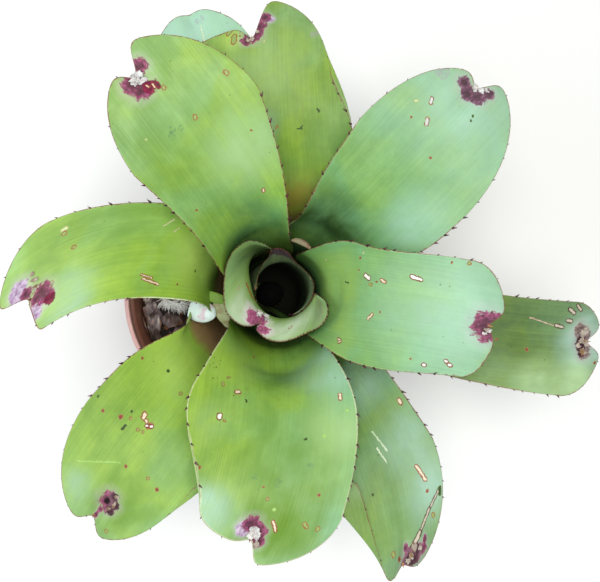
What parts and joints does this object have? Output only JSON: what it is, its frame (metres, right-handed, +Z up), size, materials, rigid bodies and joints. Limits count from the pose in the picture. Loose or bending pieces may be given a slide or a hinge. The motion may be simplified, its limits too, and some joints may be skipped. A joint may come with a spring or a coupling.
{
  "type": "potted neoregelia",
  "caption": "Bromeliad rosette of broad green strap leaves with small edge spines and purple tips round a water tank, rooted in bark in a round plastic pot.",
  "frame": {"origin": "centre of the pot's flat underside, on the surface that it stands on", "axes": "+Z up; +X towards the side that the plant leans to, which is the right of the picture; +Y towards the top of the picture, which was taken from straight above"},
  "size_m": [0.3371, 0.3256, 0.2947],
  "materials": {
    "terracotta plastic": "satin",
    "bark": "rough",
    "pale fibre": "matte",
    "stem": "rough",
    "leaf": "satin"
  },
  "bodies": {
    "root": {"pot": "terracotta plastic", "bark_mix": "bark", "fibre_tuft": "pale fibre", "stem": "stem", "leaf_01": "leaf", "leaf_02": "leaf", "leaf_03": "leaf", "leaf_04": "leaf", "leaf_05": "leaf", "leaf_06": "leaf", "leaf_07": "leaf", "leaf_08": "leaf", "leaf_09": "leaf", "leaf_10": "leaf", "leaf_11": "leaf", "leaf_12": "leaf"}
  },
  "joints": []
}
